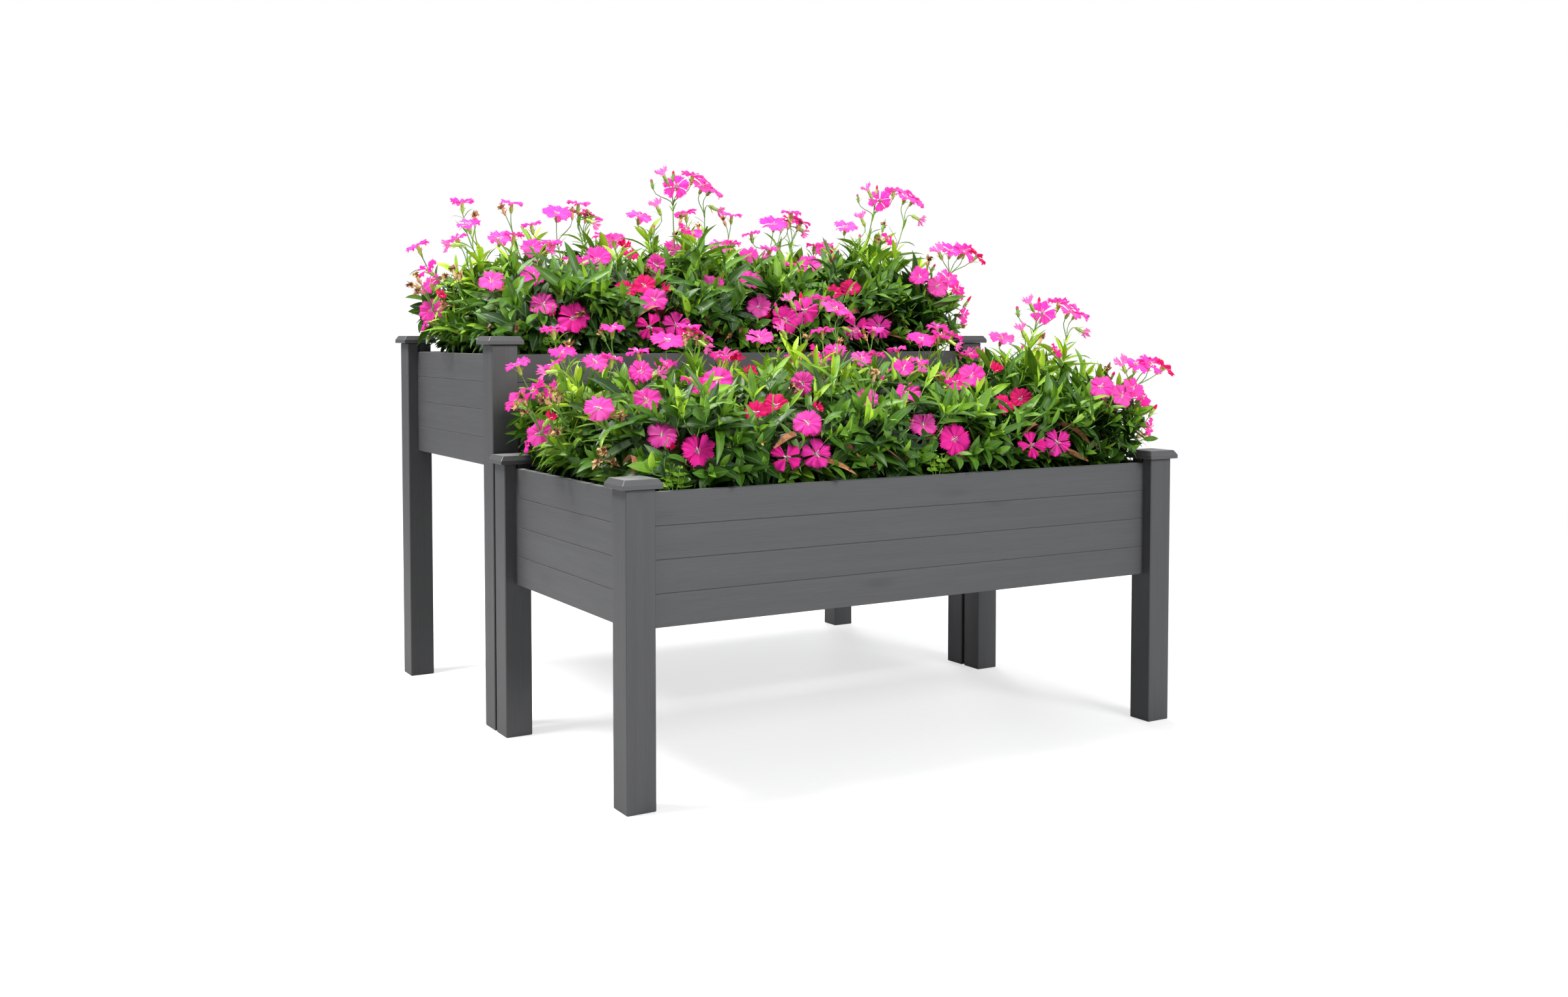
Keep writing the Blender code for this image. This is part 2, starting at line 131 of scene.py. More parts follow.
# The heads of one clump, one row for each flowering stem. A head is its place from the clump's middle
# (x, y) and its height above the caps in millimetres, how it faces (degrees from straight up, compass
# degrees with 0 towards +X and -90 towards the front), its kind and, for a bloom, its width.
STEMS = (
    ((-325, -160, 109, 50, -120, "light", 49),),
    ((-215, -140, 120, 45, -112, "pink", 50),),
    ((-238, -220, 64, 56, -118, "light", 49), (-222, -215, 44, 50, -80, "rose_half", 26)),
    ((-186, -250, 37, 68, -112, "deep", 58),),
    ((-165, -200, 97, 15, -90, "rose_bud"),),
    ((-18, -80, 150, 56, -128, "pink", 56), (-42, -60, 136, 50, -150, "deep", 46)),
    ((74, -50, 155, 32, -110, "rose_half", 44),),
    ((-28, -200, 95, 62, -100, "rose", 42),),
    ((33, -180, 105, 58, -112, "rose", 46),),
    ((-6, -260, 19, 70, -118, "cross", 54),),
    ((60, -260, 22, 74, -112, "gappy", 52),),
    (
        (244, 0, 282, 70, -124, "gappy", 54), (210, 0, 300, 30, 170, "pale", 40),
        (242, 10, 305, 5, 0, "rose_bud"), (288, 0, 303, 12, 0, "pink", 46),
        (190, 20, 290, 12, 180, "bud"),
    ),
    (
        (317, 0, 285, 34, -70, "light", 56), (350, 10, 282, 42, -40, "light", 54),
        (355, 0, 242, 115, -10, "pale", 34),
    ),
    ((190, 0, 242, 28, 180, "pale", 40), (173, 50, 226, 28, -100, "light", 54)),
    ((231, -50, 201, 60, -60, "deep", 32), (255, -50, 190, 20, 0, "bud")),
    ((-195, 50, 184, 36, -100, "light", 46), (-159, 50, 190, 10, 0, "pink", 38)),
    (
        (-40, 50, 223, 32, -110, "pink", 60), (-104, 50, 203, 12, 180, "pink", 40),
        (0, 50, 228, 0, 0, "withered"),
    ),
    ((37, 100, 234, 20, -60, "deep", 40), (69, 100, 232, 30, -20, "pink", 44)),
    ((36, 40, 214, 120, -60, "pale", 32),),
    ((78, 50, 190, 10, -90, "deep", 38),),
    ((-168, -50, 167, 50, -110, "pink", 44), (-132, -50, 163, 60, -60, "pale", 36)),
    ((-82, 0, 177, 14, -100, "pink", 42), (-60, -50, 150, 12, -90, "deep", 38)),
    ((-328, 0, 169, 95, 170, "pale", 36), (-300, 30, 178, 30, 150, "pink", 42)),
    ((-264, 50, 201, 25, -130, "pink", 46), (-245, 60, 215, 0, 0, "withered")),
    ((52, 120, 250, 8, -90, "pink", 46), (75, 120, 228, 20, 0, "withered")),
    ((-122, 120, 245, 10, -90, "pink", 46), (-145, 120, 236, 25, 170, "withered")),
    ((-236, 140, 243, 8, 90, "pink", 48),),
    ((169, -120, 106, 60, -60, "withered"), (171, -140, 88, 95, -80, "withered")),
    ((248, -100, 104, 40, 0, "withered"), (258, -150, 115, 50, -60, "withered")),
    ((247, -200, 161, 15, -60, "withered"), (262, -200, 150, 30, -20, "bud")),
    ((167, -265, 12, 100, -90, "withered"), (189, -265, 4, 95, -60, "withered")),
    ((249, 0, 226, 12, 0, "withered"), (219, -20, 196, 10, 0, "withered")),
    ((181, 0, 204, 5, 0, "bud"),),
    ((-127, -250, 48, 80, -80, "withered"),),
    (
        (-322, 0, 130, 20, 120, "withered"), (-302, 10, 122, 50, 60, "withered"),
        (-337, 0, 117, 60, 180, "withered"),
    ),
    (
        (-320, -165, 38, 95, -80, "withered"), (-303, -165, 18, 105, -60, "withered"),
        (-334, -170, 20, 95, -120, "withered"),
    ),
    ((-292, -170, 96, 85, -20, "withered"),),
    ((300, 100, 180, 40, 20, "pink", 46),),
    ((180, 170, 190, 35, 80, "light", 50), (205, 170, 180, 25, 40, "rose_half", 40)),
    ((-20, 210, 140, 50, 95, "pink", 50),),
    ((80, 250, 75, 62, 85, "light", 50),),
    ((-120, 240, 85, 60, 100, "rose", 46),),
    ((-200, 200, 125, 48, 120, "gappy", 50), (-225, 200, 115, 30, 170, "bud")),
    ((-300, 170, 110, 55, 130, "pink", 48),),
    ((230, 240, 90, 58, 70, "pink", 50),),
    ((150, 280, 35, 72, 90, "deep", 50),),
    ((-40, 280, 30, 72, 95, "pink", 50),),
)

# Heads that only the left or only the right clump has, with x and y from the bed's middle.
LEFT_ONLY = (
    ((-223, -240, 77, 62, -125, "pink", 50),),
    ((-180, -200, 97, 40, -60, "rose_half", 30),),
    ((-157, -120, 144, 95, -150, "pink", 44), (-175, -120, 135, 60, 180, "withered")),
    ((-618, 0, 84, 45, -60, "rose_half", 28),),
    (
        (-648, 50, 120, 30, 180, "withered"), (-660, 40, 106, 75, 170, "withered"),
        (-645, 50, 96, 80, -130, "withered"),
    ),
    ((-618, -30, 63, 60, -60, "withered"),),
    ((-402, -260, 44, 60, -100, "withered"), (-338, -260, 46, 60, -70, "withered")),
    ((-615, 50, 55, 68, -135, "pink", 50),),
    ((-622, 60, 133, 52, -165, "cross", 46),),
    ((-600, 200, 175, 20, 170, "pink", 48),),
    ((-590, 160, 35, 70, 170, "gappy", 48),),
)
RIGHT_ONLY = (
    (
        (515, -265, 171, 40, -160, "pale", 44), (545, -270, 174, 30, -100, "pink", 50),
        (578, -275, 172, 45, -60, "pink", 54), (622, -270, 166, 50, -30, "rose", 46),
        (600, -250, 176, 25, 30, "pink", 46),
    ),
    (
        (470, -250, 129, 60, -140, "pink", 46), (505, -270, 112, 65, -100, "light", 48),
        (540, -265, 126, 50, -90, "pink", 48), (563, -270, 106, 60, -70, "deep", 44),
    ),
    ((595, -270, 81, 35, -20, "rose_bud"), (572, -280, 48, 95, -60, "pink", 38)),
    ((632, -200, 22, 75, -30, "withered"),),
    ((610, -100, 90, 55, -10, "pink", 50),),
    ((615, 80, 120, 45, 10, "light", 50), (600, 110, 130, 25, 60, "bud")),
    ((600, 200, 60, 65, 20, "gappy", 50),),
)

# The tips of a clump's tallest light green shoots, from its middle.
LIME_SHOOTS = ((0.228, 0.00, 0.178), (0.262, -0.01, 0.158), (0.345, -0.02, 0.152), (-0.255, 0.02, 0.150))

# Long dead blades that arch over the front of a clump: start, top and end, each (x, y, height).
DEAD_LEAVES = (
    ((0.045, -0.20, 0.035), (0.010, -0.262, 0.092), (-0.055, -0.288, 0.040)),
    ((0.040, -0.20, 0.035), (0.075, -0.262, 0.104), (0.122, -0.290, 0.018)),
    ((0.055, -0.22, 0.010), (0.080, -0.275, 0.026), (0.114, -0.292, -0.014)),
    ((0.150, -0.20, 0.030), (0.175, -0.250, 0.062), (0.215, -0.288, 0.006)),
    ((-0.300, -0.20, 0.020), (-0.290, -0.260, 0.050), (-0.325, -0.288, 0.008)),
    ((0.020, 0.19, 0.030), (-0.030, 0.250, 0.075), (-0.090, 0.285, 0.030)),
)
DEAD_LEAF_HALF = 0.0100  # half its width
SPRIG_PLACE = (-0.235, -0.262)

# ---- Colours --------------------------------------------------------------------------------------
# Young to old greens; the darkest end also serves as painted shade for leaves low in the mass.
LEAF_GREENS = ((0.370, 0.590, 0.025), (0.170, 0.345, 0.018), (0.055, 0.155, 0.008), (0.010, 0.040, 0.004))
STEM_GREENS = ((0.440, 0.600, 0.110), (0.200, 0.390, 0.070), (0.120, 0.270, 0.045), (0.050, 0.130, 0.025))
# Deep, middle and pale petals, then their rays.
PINKS = ((0.94, 0.024, 0.37), (0.92, 0.060, 0.49), (0.86, 0.240, 0.60), (0.89, 0.022, 0.35))
ROSES = ((0.78, 0.008, 0.10), (0.86, 0.016, 0.19), (0.88, 0.060, 0.30), (0.66, 0.006, 0.10))
PETAL_EYE = (0.93, 0.60, 0.80)
STRAW, TAN, RUST, BROWN = (0.70, 0.50, 0.25), (0.46, 0.25, 0.09), (0.22, 0.075, 0.030), (0.055, 0.018, 0.014)
SOILS = ((0.012, 0.008, 0.005), (0.045, 0.029, 0.018), (0.11, 0.078, 0.05))
# Dark, middle and light grain of the paint, then its worn edges and the pale grey on level faces, which is
# dust and also painted light that brightens the tops.
PAINT_GREYS = ((0.042, 0.043, 0.0445), (0.049, 0.050, 0.0515), (0.0575, 0.0585, 0.0605))
PAINT_WORN, PAINT_DUST_AND_TOP_LIGHT = (0.125, 0.125, 0.131), (0.275, 0.275, 0.28)
POSTS_DARKER = 0.88


# ---- Node materials -------------------------------------------------------------------------------
class Material:
    """A material under construction, with short calls for its nodes."""

    def __init__(self, name):
        self.result = bpy.data.materials.new(name)
        self.result.use_nodes = True
        self.nodes = self.result.node_tree.nodes
        self.links = self.result.node_tree.links
        self.shader = self.nodes["Principled BSDF"]

    def add(self, kind, inputs=None, **settings):
        node = self.nodes.new("ShaderNode" + kind)
        for key, value in settings.items():
            setattr(node, key, value)
        for key, value in (inputs or {}).items():
            if isinstance(value, bpy.types.NodeSocket):
                self.links.new(value, node.inputs[key])
            else:
                node.inputs[key].default_value = value
        return node

    def math(self, operation, first, second=0.5):
        return self.add("Math", {0: first, 1: second}, operation=operation).outputs[0]

    def plus(self, first, second):
        return self.math("ADD", first, second)

    def times(self, first, second):
        return self.math("MULTIPLY", first, second)

    def noise(self, vector, scale, detail=3.0, roughness=0.55):
        settings = {"Vector": vector, "Scale": scale, "Detail": detail, "Roughness": roughness}
        return self.add("TexNoise", settings).outputs["Fac"]

    def ramp(self, value, *stops):
        """A colour ramp from (position, colour) stops."""
        node = self.add("ValToRGB", {"Fac": value})
        elements = node.color_ramp.elements
        while len(elements) < len(stops):
            elements.new(0.5)
        for element, (position, colour) in zip(elements, stops):
            element.position = position
            element.color = (*colour, 1.0)
        return node.outputs["Color"]

    def fade(self, value, start, end):
        """A grey ramp between two ends, each given as (position, shade)."""
        return self.ramp(value, *((position, (shade,) * 3) for position, shade in (start, end)))

    def span(self, value, low, high):
        """A number between low and high as value goes from 0 to 1."""
        return self.add("MapRange", {"Value": value, "To Min": low, "To Max": high}).outputs["Result"]

    def blend(self, kind, factor, first, second):
        node = self.add("Mix", data_type="RGBA", blend_type=kind)
        for key, value in ((0, factor), (6, first), (7, second)):
            if isinstance(value, bpy.types.NodeSocket):
                self.links.new(value, node.inputs[key])
            elif key:
                node.inputs[key].default_value = (*value, 1.0)
            else:
                node.inputs[key].default_value = value
        return node.outputs[2]

    def position(self, scale=(1, 1, 1), offset=(0, 0, 0)):
        """Object coordinates, stretched."""
        coordinates = self.add("TexCoord").outputs["Object"]
        return self.add("Mapping", {"Vector": coordinates, "Location": offset, "Scale": scale}).outputs[0]

    def painted_attribute(self, name):
        """The three numbers that a mesh carries at each point."""
        vector = self.add("Attribute", attribute_name=name).outputs["Vector"]
        return self.add("SeparateXYZ", {0: vector}).outputs

    def bump(self, height, strength, distance):
        node = self.add("Bump", {"Height": height, "Strength": strength, "Distance": distance})
        self.links.new(node.outputs[0], self.shader.inputs["Normal"])

    def finish(self, colour, roughness, through=0.0, **plain):
        """Connect the shader. Light shines through the given share of a thin sheet."""
        self.links.new(colour, self.shader.inputs["Base Color"])
        self.links.new(roughness, self.shader.inputs["Roughness"])
        for key, value in plain.items():
            self.shader.inputs[key.replace("_", " ")].default_value = value
        if through:
            glow = self.add("BsdfTranslucent", {"Color": colour}).outputs[0]
            self.show(self.add("MixShader", {0: through, 1: self.shader.outputs[0], 2: glow}).outputs[0])
        return self.result

    def show(self, shader):
        self.links.new(shader, self.nodes["Material Output"].inputs["Surface"])


def paint_material(name, grain, number):
    """Dark grey paint over brushed softwood, with the grain along one axis. Posts are a little darker."""
    m = Material(name)
    tone = POSTS_DARKER if "_post_" in name else 1.0
    offset = (0.37 * number, 0.61 * number, 0.23 * number)

    def stretched(along, across):
        return m.position(tuple(along if axis == grain else across for axis in range(3)), offset)

    fine = m.noise(stretched(14, 420), 1.0, 4.0)
    streaks = m.noise(stretched(2.2, 70), 1.0, 3.0)
    cloud = m.noise(stretched(3.0, 9.0), 1.0, 2.0)
    knots = m.add("TexVoronoi", {"Vector": stretched(4.0, 15.0), "Scale": 1.0})
    knot = m.fade(knots.outputs["Distance"], (0.05, 0.80), (0.20, 1.0))
    mixed = m.plus(m.times(fine, 0.45), m.times(streaks, 0.40))
    mixed = m.plus(mixed, m.times(cloud, 0.15))
    dark, middle, light = ([tone * part for part in grey] for grey in PAINT_GREYS)
    colour = m.ramp(mixed, (0.30, dark), (0.50, middle), (0.72, light))
    colour = m.blend("MULTIPLY", 1.0, colour, knot)
    rounded = m.add("Bevel", {"Radius": 0.0016}, samples=4).outputs[0]
    flat = m.add("NewGeometry").outputs["Normal"]
    upward = m.add("SeparateXYZ", {0: flat}).outputs[2]
    # Level faces turn towards a pale grey: partly dust, partly painted light that makes the tops brighter.
    level = {"Value": upward, "From Min": 0.90, "From Max": 1.0, "To Max": 0.62}
    colour = m.blend("MIX", m.add("MapRange", level).outputs["Result"], colour, PAINT_DUST_AND_TOP_LIGHT)
    facing = m.add("VectorMath", {0: rounded, 1: flat}, operation="DOT_PRODUCT").outputs["Value"]
    edge = m.times(m.math("SUBTRACT", 1.0, facing), m.span(cloud, 1.0, 4.0))
    edge = m.add("Clamp", {"Value": edge, "Max": 0.30}).outputs[0]
    colour = m.blend("MIX", edge, colour, PAINT_WORN)
    m.bump(m.plus(fine, m.times(streaks, 0.7)), 0.22, 0.0006)
    return m.finish(colour, m.span(mixed, 0.54, 0.42), Specular_IOR_Level=0.45)


def soil_material():
    m = Material("potting_soil")
    crumbs = m.noise(m.position(), 160.0, 6.0, 0.7)
    patches = m.noise(m.position(), 14.0, 3.0)
    colour = m.ramp(crumbs, *zip((0.30, 0.52, 0.75), SOILS))
    colour = m.blend("MULTIPLY", 1.0, colour, m.fade(patches, (0.35, 0.55), (0.65, 1.0)))
    m.bump(crumbs, 0.9, 0.004)
    return m.finish(colour, m.span(patches, 0.95, 0.75))


def leaf_material(name, greens):
    """Waxy green blade. Its mesh carries: 0 at the base to 1 at the tip, 0 to 1 across, and its age, with
    the painted shade of leafy shoots added to it.
    """
    m = Material(name)
    along, across, age = m.painted_attribute("blade")
    mottle = m.noise(m.position(), 55.0, 4.0)
    shade = m.plus(age, m.times(m.math("SUBTRACT", mottle, 0.5), 0.30))
    colour = m.ramp(shade, *zip((0.0, 0.25, 0.55, 0.95), greens))
    off_rib = m.math("ABSOLUTE", m.math("SUBTRACT", across, 0.5))
    rib = m.fade(off_rib, (0.0, 1.0), (0.06, 0.0))
    colour = m.blend("MIX", m.times(rib, 0.40), colour, (0.27, 0.42, 0.12))
    dark_foot = m.ramp(along, (0.0, (0.72, 0.80, 0.72)), (0.35, WHITE))
    colour = m.blend("MULTIPLY", 1.0, colour, dark_foot)
    m.bump(m.plus(mottle, m.times(off_rib, 1.5)), 0.30, 0.0008)
    return m.finish(colour, m.span(mottle, 0.50, 0.36), through=0.22, Specular_IOR_Level=0.40)


def petal_material(name, deep, middle, pale, vein):
    """Silky petal. Its mesh carries: 0 at the throat to 1 at the fringe, 0 to 1 across, and its tint."""
    m = Material(name)
    along, across, tint = m.painted_attribute("petal")
    body = m.ramp(tint, (0.0, deep), (0.55, middle), (1.0, pale))
    crosswise = m.add("CombineXYZ", {0: across}).outputs[0]
    waves = {"Vector": crosswise, "Scale": 3.4, "Distortion": 2.0, "Detail": 2.0}
    rays = m.add("TexWave", waves).outputs["Fac"]
    veined = m.times(m.fade(rays, (0.30, 1.0), (0.62, 0.0)), m.span(along, 0.40, 0.15))
    colour = m.blend("MIX", veined, body, vein)
    eye = m.times(m.fade(along, (0.02, 1.0), (0.22, 0.0)), m.span(rays, 0.3, 0.9))
    colour = m.blend("MIX", eye, colour, PETAL_EYE)
    rim = m.times(m.fade(along, (0.82, 0.0), (1.0, 1.0)), 0.45)
    colour = m.blend("MIX", rim, colour, deep)
    m.bump(m.plus(rays, m.noise(m.position(), 420.0, 2.0)), 0.25, 0.0006)
    return m.finish(colour, m.span(rays, 0.78, 0.62), through=0.46, Specular_IOR_Level=0.15)


def withered_material():
    """Dry stuff, from straw through rust to dark brown as the mesh's third mark goes from 0 to 1."""
    m = Material("withered")
    crinkle = m.noise(m.position(), 190.0, 5.0, 0.65)
    age = m.painted_attribute("blade")[2]
    shade = m.plus(age, m.times(m.math("SUBTRACT", crinkle, 0.5), 0.9))
    colour = m.ramp(shade, *zip((0.05, 0.35, 0.65, 0.95), (STRAW, TAN, RUST, BROWN)))
    m.bump(crinkle, 0.6, 0.0015)
    return m.finish(colour, m.span(crinkle, 0.9, 0.7))


def style_material():
    m = Material("styles")
    speck = m.noise(m.position(), 900.0, 2.0)
    colour = m.ramp(speck, (0.35, (0.90, 0.62, 0.78)), (0.65, (0.95, 0.86, 0.91)))
    m.bump(speck, 0.2, 0.0002)
    return m.finish(colour, m.span(speck, 0.6, 0.45))


def floor_material():
    """Pale matt floor that fades into the white surroundings and throws little light back up."""
    m = Material("studio_floor")
    distance = m.add("VectorMath", {0: m.position()}, operation="LENGTH").outputs["Value"]
    near, far = FLOOR_FADE
    outwards = {"Value": distance, "From Min": near, "From Max": far, "To Min": FLOOR_WHITE}
    fade = m.add("MapRange", outwards, interpolation_type="SMOOTHSTEP").outputs["Result"]
    tone = m.fade(m.noise(m.position(), 35.0, 4.0), (0.3, 0.86), (0.7, 0.89))
    m.links.new(tone, m.shader.inputs["Base Color"])
    m.shader.inputs["Roughness"].default_value = 0.9
    m.shader.inputs["Specular IOR Level"].default_value = 0.1
    white = m.add("Emission", {"Color": (*WHITE, 1.0), "Strength": 1.0}).outputs[0]
    seen = m.add("MixShader", {0: fade, 1: m.shader.outputs[0], 2: white}).outputs[0]
    dim = m.add("BsdfDiffuse", {"Color": (*[FLOOR_BOUNCE] * 3, 1.0)}).outputs[0]
    from_camera = m.add("LightPath").outputs["Is Camera Ray"]
    m.show(m.add("MixShader", {0: from_camera, 1: dim, 2: seen}).outputs[0])
    return m.result


# ---- Mesh pieces ----------------------------------------------------------------------------------
class Piece:
    """Gathers vertices and faces, then becomes one object."""

    def __init__(self):
        self.points, self.marks = [], []
        self.quads, self.triangles = [np.zeros((0, 4), int)], [np.zeros((0, 3), int)]
        self.count = 0

    def add(self, points, quads, triangles=(), marks=0.0):
        """Add points and faces, with three marks for each point or the same for all."""
        points = np.reshape(points, (-1, 3))
        marks = np.reshape(marks, (-1, 3)) if np.ndim(marks) else np.full(points.shape, marks)
        self.points.append(points)
        self.marks.append(np.broadcast_to(marks, points.shape))
        self.quads.append(quads + self.count)
        if len(triangles):
            self.triangles.append(triangles + self.count)
        self.count += len(points)

    def build(self, name, material, slot, mark_name, replaced):
        """Make the mesh, with the marks as an attribute for its material."""
        quads, triangles = np.concatenate(self.quads), np.concatenate(self.triangles)
        corners = np.concatenate([quads.ravel(), triangles.ravel()])
        quad_starts = np.arange(len(quads)) * 4
        triangle_starts = len(quads) * 4 + np.arange(len(triangles)) * 3
        starts = np.concatenate([quad_starts, triangle_starts])
        mesh = bpy.data.meshes.new(name)
        mesh.vertices.add(self.count)
        mesh.vertices.foreach_set("co", np.concatenate(self.points).astype(np.float32).ravel())
        mesh.loops.add(len(corners))
        mesh.loops.foreach_set("vertex_index", corners.astype(np.int32))
        mesh.polygons.add(len(starts))
        mesh.polygons.foreach_set("loop_start", starts.astype(np.int32))
        mesh.update(calc_edges=True)
        mesh.validate()
        mesh.shade_smooth()
        attribute = mesh.attributes.new(mark_name, "FLOAT_VECTOR", "POINT")
        attribute.data.foreach_set("vector", np.concatenate(self.marks).astype(np.float32).ravel())
        mesh.materials.append(material)
        obj = bpy.data.objects.new(name, mesh)
        bpy.context.scene.collection.objects.link(obj)
        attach(obj, "root")
        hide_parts(replaced)


# ---- Shapes made of sheets and tubes --------------------------------------------------------------
def grid_quads(rows, columns, wrap=False):
    """Faces of a grid of points stored row by row."""
    across = columns if wrap else columns - 1
    row, column = np.meshgrid(np.arange(rows - 1), np.arange(across), indexing="ij")
    row, column = row.ravel(), column.ravel()
    following = (column + 1) % columns
    low, high = row * columns, (row + 1) * columns
    return np.stack([low + column, low + following, high + following, high + column], axis=1)


def repeated(faces, copies, points_each):
    """The same faces for each of several equal blocks of points."""
    return (faces[None] + (np.arange(copies) * points_each)[:, None, None]).reshape(-1, faces.shape[1])


def unit(vectors):
    return vectors / np.maximum(np.linalg.norm(vectors, axis=-1, keepdims=True), 1e-9)


def square_to(axis):
    """A unit vector at right angles to each axis."""
    helper = np.where(np.abs(axis[..., 2:]) > 0.9, [1.0, 0.0, 0.0], UP)
    return unit(np.cross(axis, helper))


def spokes(axis, turn):
    """A unit vector square to each axis, turned about it by an angle."""
    first = square_to(axis)
    return first * np.cos(turn)[:, None] + np.cross(axis, first) * np.sin(turn)[:, None]


def leaned(way, out, spread):
    """Directions that lean by an angle from way towards out, and the sides that they turn inwards."""
    spread = spread[:, None]
    return way * np.cos(spread) + out * np.sin(spread), way * np.sin(spread) - out * np.cos(spread)


def both_sides(place, way, out):
    """Each place once for out and once more for the opposite side."""
    return np.concatenate([place, place]), np.concatenate([way, way]), np.concatenate([out, -out])


def tubes(paths, radii, sides):
    """Round tubes along paths (copies x points x 3), each closed by a point at both ends."""
    copies, count = paths.shape[:2]
    forward = unit(np.gradient(paths, axis=1))
    first = square_to(forward)
    second = np.cross(forward, first)
    turn = np.arange(sides) * ROUND / sides
    ring = first[:, :, None] * np.cos(turn)[:, None] + second[:, :, None] * np.sin(turn)[:, None]
    rings = paths[:, :, None] + ring * radii[:, :, None, None]
    points = np.concatenate([rings.reshape(copies, -1, 3), paths[:, :1], paths[:, -1:]], axis=1)
    foot, head, top = count * sides, count * sides + 1, (count - 1) * sides
    around = np.arange(sides)
    low = np.stack([np.full(sides, foot), (around + 1) % sides, around], axis=1)
    high = np.stack([np.full(sides, head), top + around, top + (around + 1) % sides], axis=1)
    each = count * sides + 2
    return (
        points.reshape(-1, 3),
        repeated(grid_quads(count, sides, wrap=True), copies, each),
        repeated(np.concatenate([low, high]), copies, each),
    )


def blades(base, ahead, face, length, width, bend, fold, twist, rows=LEAF_ROWS, round_tip=False):
    """Leaf blades as copies x stations x 3 points, folded along the rib.

    They leave along ahead with their upper side towards face, and bend away from that side.
    """
    ahead, face = unit(ahead)[:, None], face[:, None]
    face = unit(face - ahead * (face * ahead).sum(-1, keepdims=True))
    beside = np.cross(ahead, face)
    t = np.linspace(0.0, 1.0, rows + 1)
    angle = (bend[:, None] * t**1.2)[..., None]
    along = ahead * np.cos(angle) - face * np.sin(angle)
    over = face * np.cos(angle) + ahead * np.sin(angle)
    turn = (twist[:, None] * t)[..., None]
    side = beside * np.cos(turn) + over * np.sin(turn)
    over = over * np.cos(turn) - beside * np.sin(turn)
    steps = (along[:, 1:] + along[:, :-1]) / 2 * (length / rows)[:, None, None]
    rib = base[:, None] + np.concatenate([np.zeros((len(base), 1, 3)), np.cumsum(steps, axis=1)], axis=1)
    wave = 0.014 * length[:, None] * t * np.sin(8.0 * t + 20.0 * twist[:, None])
    rib = rib + over * wave[..., None]
    if round_tip:
        shape = np.sqrt(np.clip(1 - (2 * t - 1) ** 2, 0, 1)) + 0.06 * (1 - t)
    else:
        shape = (0.13 + 0.87 * np.sin(math.pi * t**0.92) ** 0.68) * (1 - t**9)
    half = (width[:, None] / 2 * shape)[..., None]
    raised = over * half * fold[:, None, None]
    return np.stack([rib - side * half + raised, rib, rib + side * half + raised], axis=2)


def add_blades(piece, points, age):
    """Add blades that carry how far along and across they are, and their age."""
    copies, stations = points.shape[:2]
    marks = np.zeros((copies, stations, 3, 3))
    marks[..., 0] = np.linspace(0.0, 1.0, stations)[:, None]
    marks[..., 1] = np.array([0.0, 0.5, 1.0])
    marks[..., 2] = np.asarray(age)[:, None, None]
    piece.add(points, repeated(grid_quads(stations, 3), copies, stations * 3), marks=marks)


def bezier(first, second, third, fourth, count):
    t = np.linspace(0, 1, count)[:, None]
    return (1 - t) ** 3 * first + 3 * (1 - t) ** 2 * t * second + 3 * (1 - t) * t**2 * third + t**3 * fourth


def along_path(path, share):
    """Points on a path at the given shares of its length, and the way it runs there."""
    steps = np.linspace(0.0, 1.0, len(path))
    ways = np.gradient(path, axis=0)
    place = np.stack([np.interp(share, steps, path[:, axis]) for axis in range(3)], axis=1)
    way = np.stack([np.interp(share, steps, ways[:, axis]) for axis in range(3)], axis=1)
    return place, unit(way)


def turned(points, axis, at):
    """Points made about +Z, turned to an axis and moved to a place."""
    rotation = Vector((0, 0, 1)).rotation_difference(Vector(axis)).to_matrix()
    return points @ np.array(rotation).T + np.asarray(at)


def direction(tilt, heading):
    """Unit vector leaning by tilt from straight up, towards a compass heading, both in degrees."""
    tilt, heading = math.radians(tilt), math.radians(heading)
    return np.array([math.sin(tilt) * math.cos(heading), math.sin(tilt) * math.sin(heading), math.cos(tilt)])


